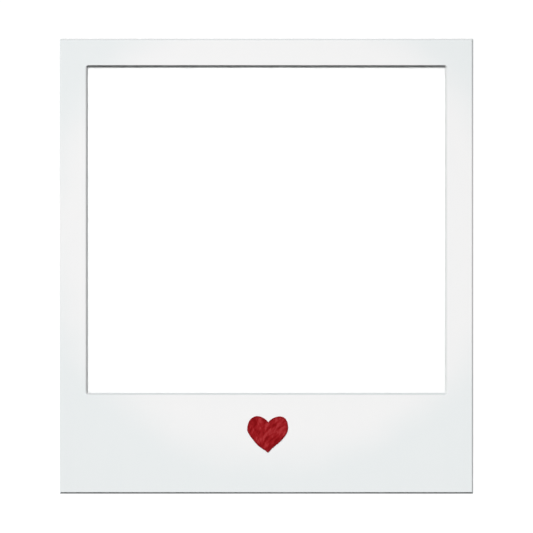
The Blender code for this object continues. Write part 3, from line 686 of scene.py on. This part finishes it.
def rivet_piece(node, place, space, body, material, grip, head, height, flare, clinch):
    profile = dome(head, height, -0.28) + rounded(
        [
            (head, -0.05),
            (head, -0.28),
            (1.0, -0.28),
            (1.0, -grip),
            (flare, -grip),
            (flare, -grip - 0.7 * clinch),
            (0.78 * flare, -grip - clinch),
            (0.55 * flare, -grip - 0.35 * clinch),
            (0.0, -grip - 0.15 * clinch),
        ],
        0.12,
    )
    bm = spun(profile, 48, TO_Y, Vector(place))
    piece(node + "_turned", mesh_of(bm, node, space), material, body, "zinc_steel", node)


for side, word in ((-1, "left"), (1, "right")):
    rivet_piece(
        "plate_rivet_" + word, (side * 7.5, 9.8, 86.6), FACE, "frame", zinc_small, 3.9, 2.0, 0.98, 1.8, 0.5
    )
    rivet_piece(
        "leg_rivet_" + word, (side * 7.0, 1.95, -9.6), LEG, "leg", zinc_leg_small, 3.0, 2.0, 0.98, 1.8, 0.45
    )
rivet_piece("hanger_rivet", (0.0, 10.2, 99.8), FACE, "frame", zinc_small, 4.3, 1.8, 0.78, 1.8, 0.5)

pin = [(0.0, 12.0), (0.55, 11.97), (0.98, 11.84), (1.24, 11.6), (1.3, 11.3), (0.75, 11.3)]
pin_profile = rounded(pin + [(r, -h) for r, h in reversed(pin)], 0.08)
piece(
    "hinge_pin_turned",
    mesh_of(spun(pin_profile, 40, TO_X, Vector((0, HINGE_Y, HINGE_Z))), "hinge_pin", FACE),
    zinc_small,
    "frame",
    "zinc_steel",
    "hinge_pin",
)


def evaluated(obj):
    """The mesh of an object with its modifiers, and the object gone."""
    bpy.context.view_layer.update()
    mesh = bpy.data.meshes.new_from_object(obj.evaluated_get(bpy.context.evaluated_depsgraph_get()))
    bpy.data.objects.remove(obj, do_unlink=True)
    return mesh


def combined(name, bm, tools):
    """A solid with others cut out of it or joined to it: (bmesh, operation) pairs, in
    millimetres."""
    made = []
    for k, (shape, _) in enumerate([(bm, None)] + tools):
        bmesh.ops.recalc_face_normals(shape, faces=shape.faces)
        mesh = bpy.data.meshes.new(f"{name}_{k}")
        shape.to_mesh(mesh)
        shape.free()
        obj = bpy.data.objects.new(f"{name}_{k}", mesh)
        scene.collection.objects.link(obj)
        made.append(obj)
    for obj, (_, operation) in zip(made[1:], tools):
        cut = made[0].modifiers.new(obj.name, "BOOLEAN")
        cut.operation = operation
        cut.solver = "EXACT"
        cut.object = obj
    mesh = evaluated(made[0])
    for obj in made[1:]:
        bpy.data.objects.remove(obj, do_unlink=True)
    result = bmesh.new()
    result.from_mesh(mesh)
    bpy.data.meshes.remove(mesh)
    bmesh.ops.remove_doubles(result, verts=result.verts, dist=2e-3)
    bmesh.ops.dissolve_degenerate(result, edges=result.edges, dist=1e-3)
    return result


def arc(middle, radius, start, end, steps):
    return [
        (
            middle[0] + radius * math.cos(math.radians(start + (end - start) * i / steps)),
            middle[1] + radius * math.sin(math.radians(start + (end - start) * i / steps)),
        )
        for i in range(steps + 1)
    ]


def sheet(loops, thickness, edge, offset):
    """A flat sheet with rounded edges, from its outline and holes, as a bmesh."""
    drawing = bpy.data.curves.new("outline", "CURVE")
    drawing.dimensions = "2D"
    drawing.fill_mode = "BOTH"
    drawing.extrude = thickness / 2 - edge
    drawing.bevel_depth = edge
    drawing.bevel_resolution = 2
    drawing.offset = -edge
    for loop in loops:
        spline = drawing.splines.new("POLY")
        spline.points.add(len(loop) - 1)
        for point, (a, b) in zip(spline.points, loop):
            point.co = (a, b, 0.0, 1.0)
        spline.use_cyclic_u = True
    obj = bpy.data.objects.new("outline", drawing)
    scene.collection.objects.link(obj)
    mesh = evaluated(obj)
    bm = bmesh.new()
    bm.from_mesh(mesh)
    bpy.data.meshes.remove(mesh)
    bmesh.ops.remove_doubles(bm, verts=bm.verts, dist=1e-4)
    turn = Matrix.Translation((0, offset + thickness / 2, 0)) @ Matrix.Rotation(math.pi / 2, 4, "X")
    bmesh.ops.transform(bm, matrix=turn, verts=bm.verts)
    bmesh.ops.recalc_face_normals(bm, faces=bm.faces)
    return bm


def wedge(turn, place):
    """One blade of a cross recess, narrower at its bottom."""
    bm = bmesh.new()
    bmesh.ops.create_cube(bm, size=1.0)
    for v in bm.verts:
        deep = v.co.y < 0
        v.co.x *= 1.5 if deep else 3.1
        v.co.z *= 0.40 if deep else 0.58
        v.co.y = 0.5 if deep else 2.4
    matrix = Matrix.Translation(place) @ Matrix.Rotation(turn, 4, "Y")
    bmesh.ops.transform(bm, matrix=matrix, verts=bm.verts)
    return bm


for side, word in ((-1, "left"), (1, "right")):
    lift = math.degrees(math.asin((3.4 - 2.5) / 9.0))
    outline = arc((0, 0), 3.4, 180 - lift, 360 + lift, 44) + arc((0, 9.0), 2.5, lift, 180 - lift, 26)
    hole = list(reversed(arc((0, 0), 1.5, 0, 360 - 360 / 32, 31)))
    plate = sheet([outline, hole], 1.0, 0.2, 0.0)
    # A pressed pip near the tip gives the finger a hold.
    pip = spun(
        [(0.0, 0.62), (0.35, 0.59), (0.7, 0.49), (1.0, 0.32), (1.25, 0.1), (1.45, -0.1), (1.45, -0.5), (0.0, -0.5)],
        40,
        TO_Y,
        Vector((0, 1.0 - 0.02, 8.6)),
    )
    button = combined("button_" + word, plate, [(pip, "UNION")])
    bmesh.ops.translate(button, vec=(side * BUTTON_X, 8.9, BUTTON_Z), verts=button.verts)
    piece(
        "turn_button_" + word + "_pressed",
        mesh_of(button, "turn_button_" + word, FACE),
        zinc_small,
        "button_" + word,
        "zinc_steel",
        "turn_button_" + word,
        smooth=50,
    )

    place = Vector((side * BUTTON_X, 10.2, BUTTON_Z))
    head = [
        (2.5 * math.sin(math.radians(7.5 * i)), 1.6 * (0.45 + 0.55 * math.cos(math.radians(7.5 * i))))
        for i in range(13)
    ]
    head[0] = (0.0, 1.6)
    profile = head + rounded(
        [(2.5, 0.72), (2.5, -0.28), (1.2, -0.28), (1.2, -5.4), (0.0, -6.6)], 0.12
    )
    screw = combined(
        "screw_" + word,
        spun(profile, 56, TO_Y, place),
        [
            (wedge(math.radians(45 + 20 * side), place), "DIFFERENCE"),
            (wedge(math.radians(135 + 20 * side), place), "DIFFERENCE"),
        ],
    )
    piece(
        "turn_screw_" + word + "_turned",
        mesh_of(screw, "turn_screw_" + word, FACE),
        zinc_small,
        "frame",
        "zinc_steel",
        "turn_screw_" + word,
        smooth=38,
    )


def ring_piece():
    """The D ring as a smooth bent wire."""
    radius, half, corner, straight = 0.7, 6.0, 1.3, 5.5
    path = (
        arc((-half + corner, -corner), corner, 180, 90, 10)
        + [(-half + corner + (2 * half - 2 * corner) * i / 10, 0.0) for i in range(1, 10)]
        + arc((half - corner, -corner), corner, 90, 0, 10)
        + [(half, -corner - (straight - corner) * i / 4) for i in range(1, 4)]
        + arc((0.0, -straight), half, 0, -180, 60)
        + [(-half, -straight + (straight - corner) * i / 4) for i in range(1, 4)]
    )
    bm = bmesh.new()
    loops = []
    count = len(path)
    for i, (x, z) in enumerate(path):
        before, after = Vector(path[i - 1]), Vector(path[(i + 1) % count])
        along = (after - before).normalized()
        out = Vector((along.y, -along.x))
        loop = []
        for k in range(20):
            turn = 2 * math.pi * k / 20
            away = radius * math.cos(turn)
            loop.append(
                bm.verts.new((x + out.x * away, radius * math.sin(turn), z + out.y * away))
            )
        loops.append(loop)
    for a, b in zip(loops, loops[1:] + loops[:1]):
        for k in range(20):
            j = (k + 1) % 20
            bm.faces.new((a[k], b[k], b[j], a[j]))
    return piece(
        "hanger_ring_bent", mesh_of(bm, "hanger_ring", RING), brass, "ring", "brass_plate", "hanger_ring", smooth=80
    )


ring_piece()

def pad_piece(side, word):
    """A stick-on pad with drafted sides, from the base of the moulding to the table."""
    bm = bmesh.new()
    rings = []
    for inset, height in ((0.06, 0.98), (0.0, 0.92), (0.0, 0.80), (0.55, 0.16), (0.62, 0.06), (0.76, 0.0)):
        corner, w, h = 1.5 - inset, 8.0 - inset, 4.5 - inset
        outline = (
            arc((w - corner, h - corner), corner, 0, 90, 8)
            + arc((-w + corner, h - corner), corner, 90, 180, 8)
            + arc((-w + corner, -h + corner), corner, 180, 270, 8)
            + arc((w - corner, -h + corner), corner, 270, 360, 8)
        )
        rings.append(
            [bm.verts.new((side * 40.0 + a, ROOT_Y + 6.9 + b, height)) for a, b in outline]
        )
    count = len(rings[0])
    for above, below in zip(rings, rings[1:]):
        for i in range(count):
            j = (i + 1) % count
            bm.faces.new((above[i], below[i], below[j], above[j]))
    bm.faces.new(rings[0])
    bm.faces.new(list(reversed(rings[-1])))
    piece(
        "foot_pad_" + word + "_moulded",
        mesh_of(bm, "foot_pad_" + word, Matrix.Identity(4)),
        rubber,
        "frame",
        "pad_rubber",
        "foot_pad_" + word,
    )


pad_piece(-1, "left")
pad_piece(1, "right")


# ---------------------------------------------------------------- floor and light


def bowl():
    """A pale floor that curves up into a round backdrop."""
    profile = [(0.0, 0.0), (0.4, 0.0), (0.9, 0.0), (1.4, 0.0)]
    profile += [
        (1.4 + 0.7 * math.sin(math.radians(a)), 0.7 - 0.7 * math.cos(math.radians(a)))
        for a in range(6, 91, 6)
    ]
    profile += [(2.1, 1.4), (2.1, 2.6)]
    bm = bmesh.new()
    steps = 96
    rings = []
    for r, z in profile:
        if r == 0.0:
            rings.append([bm.verts.new((0, 0, z))] * steps)
        else:
            rings.append(
                [
                    bm.verts.new((r * math.cos(2 * math.pi * i / steps), r * math.sin(2 * math.pi * i / steps), z))
                    for i in range(steps)
                ]
            )
    for a, b in zip(rings, rings[1:]):
        for i in range(steps):
            j = (i + 1) % steps
            corners = [a[i], b[i], b[j], a[j]]
            bm.faces.new(list(dict.fromkeys(corners)))
    bmesh.ops.recalc_face_normals(bm, faces=bm.faces)
    for f in bm.faces:
        f.smooth = True
    mesh = bpy.data.meshes.new("floor")
    bm.to_mesh(mesh)
    bm.free()
    if mesh.polygons[0].normal.z < 0:
        mesh.flip_normals()
    look = Look("floor", roughness=0.9, Specular_IOR_Level=0.0)
    look.set("Base Color", (0.9, 0.9, 0.9, 1.0))
    look.set("Emission Color", (1.0, 1.0, 1.0, 1.0))
    look.set("Emission Strength", 0.915)
    mesh.materials.append(look.material)
    obj = bpy.data.objects.new("floor", mesh)
    obj.location.z = -0.0002
    scene.collection.objects.link(obj)
    obj.visible_diffuse = False
    obj.visible_transmission = False
    obj.visible_shadow = False
    obj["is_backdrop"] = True
    return obj


floor = bowl()

receivers = {}
for name, chosen in (
    ("lit_print", [nodes["photo_print"]]),
    ("lit_floor", [floor]),
    ("lit_object", [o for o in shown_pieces() if o not in (nodes["photo_print"], nodes["glazing"])]),
):
    group = bpy.data.collections.new(name)
    for obj in chosen:
        group.objects.link(obj)
    receivers[name] = group


def aim(obj, place, target):
    obj.location = place
    obj.rotation_mode = "QUATERNION"
    obj.rotation_quaternion = (target - place).to_track_quat("-Z", "Y")


def lamp(name, kind, place, target, power, group, colour=(1, 1, 1), **settings):
    data = bpy.data.lights.new(name, kind)
    data.energy = power
    data.color = colour
    for key, value in settings.items():
        setattr(data, key, value)
    obj = bpy.data.objects.new(name, data)
    scene.collection.objects.link(obj)
    aim(obj, place, target)
    obj.light_linking.receiver_collection = receivers[group]
    return obj


def around(side, rise, far):
    """A place off the face: degrees to the right of its normal and above it, and metres."""
    a, e = math.radians(side), math.radians(rise)
    return centre + (
        RIGHT * math.sin(a) * math.cos(e) + UP * math.sin(e) + FRONT * math.cos(a) * math.cos(e)
    ) * far


lamp(
    "key",
    "SPOT",
    around(-20.5, 42.2, 8.0),
    FACE @ (Vector((8.0, 0.0, 22.0)) * MM),
    3400.0,
    "lit_object",
    spot_size=math.radians(4.0),
    spot_blend=1.0,
    shadow_soft_size=0.05,
)
lamp("front", "AREA", around(0, 0, 1.25), centre, 0.5, "lit_object", shape="SQUARE", size=0.30)
lamp("window", "AREA", around(-1.6, 6.3, 0.45), centre, 2.0, "lit_print", shape="DISK", size=0.09)
lamp(
    "back_left",
    "AREA",
    Vector((-0.76, 0.78, 0.28)),
    Vector((0, 0, 0.06)),
    9.0,
    "lit_object",
    shape="RECTANGLE",
    size=0.5,
    size_y=0.8,
)
lamp(
    "back_right",
    "AREA",
    Vector((0.76, 0.78, 0.28)),
    Vector((0, 0, 0.06)),
    8.6,
    "lit_object",
    shape="RECTANGLE",
    size=0.4,
    size_y=0.8,
)
lamp("floor_top", "AREA", Vector((0, 0, 1.9)), Vector((0, 0, 0)), 4.0, "lit_floor", shape="DISK", size=2.4)
lamp("floor_front", "AREA", around(0, 0, 1.4), centre, 6.3, "lit_floor", shape="RECTANGLE", size=1.0, size_y=0.4)

world = bpy.data.worlds.new("studio")
world.use_nodes = True
world.node_tree.nodes["Background"].inputs["Color"].default_value = (0.93, 1.0, 1.0, 1.0)
world.node_tree.nodes["Background"].inputs["Strength"].default_value = 0.06
scene.world = world
